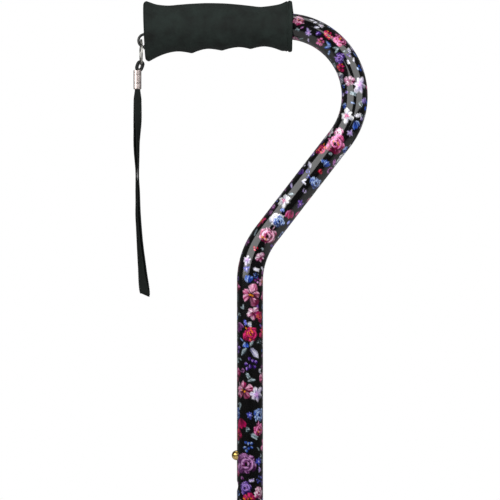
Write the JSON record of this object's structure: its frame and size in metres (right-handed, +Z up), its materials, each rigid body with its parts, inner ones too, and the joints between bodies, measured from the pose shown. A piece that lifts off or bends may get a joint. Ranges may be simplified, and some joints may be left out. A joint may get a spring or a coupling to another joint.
{
  "type": "quad walking cane",
  "caption": "Offset-handle walking cane on a quad base: telescoping shaft with snap-button height setting and locking collar, finger-ridged grip and hanging wrist strap.",
  "frame": {"origin": "on the floor, on the shaft's axis, midway between the feet", "axes": "+Z up along the shaft; the handle points to -X; the base is narrowest along Y"},
  "size_m": [0.203, 0.153, 0.7616],
  "materials": {
    "flower_print": "gloss flower print on black",
    "grip_rubber": "matte moulded",
    "eyelet_nylon": "moulded",
    "strap_tape": "woven",
    "ring_steel": "nickel plated",
    "ferrule_nickel": "bright nickel",
    "collar_plastic": "moulded",
    "white_nylon": "moulded",
    "black_anodised": "satin black anodised",
    "spring_steel": "rolled",
    "brass": "polished",
    "hub_coating": "black powder coat",
    "leg_coating": "black powder coat",
    "zinc_plate": "zinc plated",
    "tip_rubber": "moulded"
  },
  "bodies": {
    "base": {"lower_tube": "black_anodised", "guide_bushing": "white_nylon", "snap_spring": "spring_steel", "base_hub": "hub_coating", "leg_tube_left": "leg_coating", "leg_tube_right": "leg_coating", "leg_bolts": "zinc_plate", "saddle_washers": "zinc_plate", "leg_nuts": "zinc_plate", "shaft_bolt": "zinc_plate", "shaft_nut": "zinc_plate", "tip_front_left": "tip_rubber", "tip_front_right": "tip_rubber", "tip_rear_left": "tip_rubber", "tip_rear_right": "tip_rubber", "tip_washers": "zinc_plate"},
    "upper_shaft": {"upper_tube": "flower_print", "hand_grip": "grip_rubber", "strap_eyelet": "eyelet_nylon", "lock_sleeve": "collar_plastic"},
    "snap_button": {"snap_button": "brass"},
    "lock_collet": {"lock_collet": "white_nylon"},
    "lock_nut": {"lock_nut": "collar_plastic"},
    "split_ring": {"split_ring": "ring_steel"},
    "wrist_strap": {"strap_cord_eye": "strap_tape", "strap_ferrule": "ferrule_nickel", "wrist_strap": "strap_tape"}
  },
  "joints": [
    {"name": "height_slide", "type": "slide", "parent": "base", "child": "upper_shaft", "axis": [0, 0, 1], "range_m": [0, 0.1524]},
    {"name": "button_press", "type": "slide", "parent": "base", "child": "snap_button", "axis": [1, 0, 0], "range_m": [0, 0.0058], "stiffness_N_per_m": 1500, "springref_m": -0.002, "deforming": ["snap_spring"]},
    {"name": "collet_slide", "type": "slide", "parent": "upper_shaft", "child": "lock_collet", "axis": [0, 0, -1], "range_m": [0, 0.00113]},
    {"name": "nut_turn", "type": "hinge", "parent": "lock_collet", "child": "lock_nut", "pos_m": [0, 0, 0.198], "axis": [0, 0, -1], "range_deg": [0, 270]},
    {"name": "ring_swing", "type": "hinge", "parent": "upper_shaft", "child": "split_ring", "pos_m": [-0.0916, 0, 0.7284], "axis": [0, 1, 0], "range_deg": [0, 90]},
    {"name": "strap_swing", "type": "hinge", "parent": "split_ring", "child": "wrist_strap", "pos_m": [-0.0916, 0, 0.708], "axis": [0, 1, 0], "range_deg": [-20, 90]}
  ],
  "couplings": [
    {"joint": "collet_slide", "follows": "nut_turn", "m_per_rad": 0.00023873}
  ]
}
